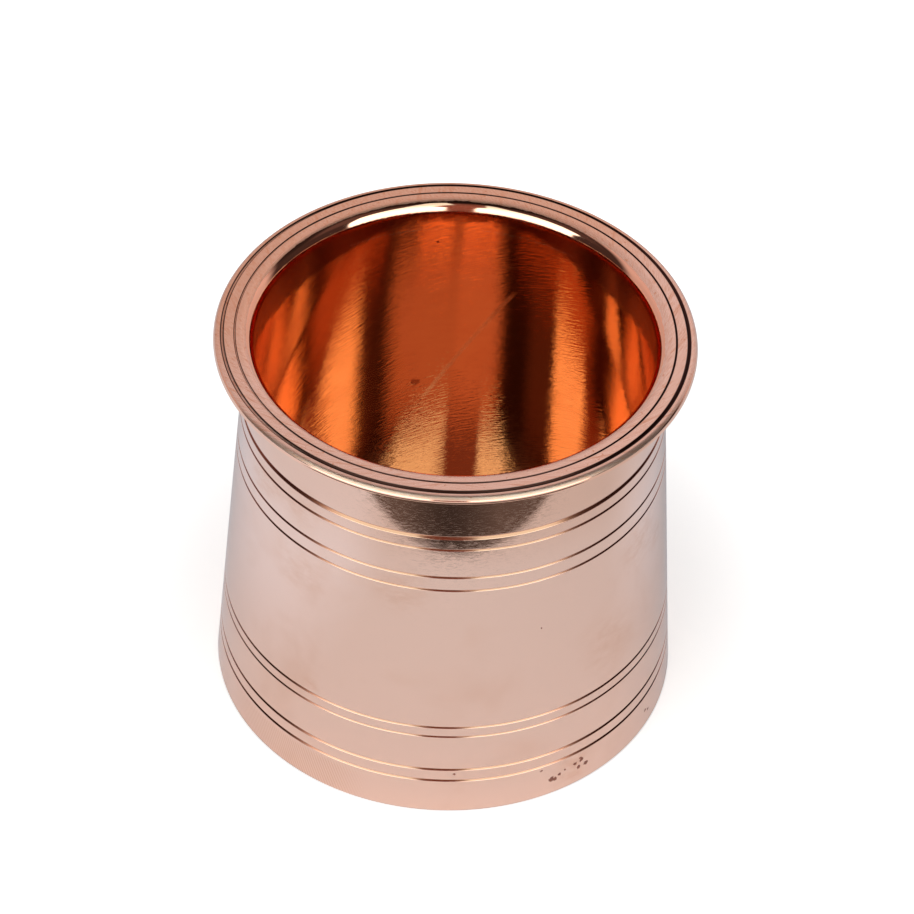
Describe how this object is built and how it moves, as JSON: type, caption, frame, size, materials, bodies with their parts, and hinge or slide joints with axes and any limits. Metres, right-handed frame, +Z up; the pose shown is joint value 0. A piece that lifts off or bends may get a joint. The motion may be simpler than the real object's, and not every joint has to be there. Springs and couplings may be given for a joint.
{
  "type": "panchpatra",
  "caption": "Small tapered copper vessel for holding worship water, wide at the foot, with a broad flat rim, rounded lip and engraved lines round wall and rim.",
  "frame": {"origin": "centre of the foot's underside, where the vessel stands", "axes": "+Z up along the axis that every piece is turned about; X and Y are alike, and -Y faces the picture's camera"},
  "size_m": [0.0798, 0.0798, 0.0731],
  "materials": {
    "polished_copper": "polished copper, with faint turning lines and handling smudges",
    "satin_copper": "satin copper, faced on a lathe, with fine tool marks and light tarnish; the lip is polished",
    "base_copper": "turned copper sheet, satin, with round tool marks",
    "filler_metal": "brazing filler, dull yellow"
  },
  "bodies": {
    "root": {"body_shell": "polished_copper", "rim_ring": "satin_copper", "base_disc": "base_copper", "rim_braze_seam": "filler_metal", "base_braze_seam": "filler_metal"}
  },
  "joints": []
}
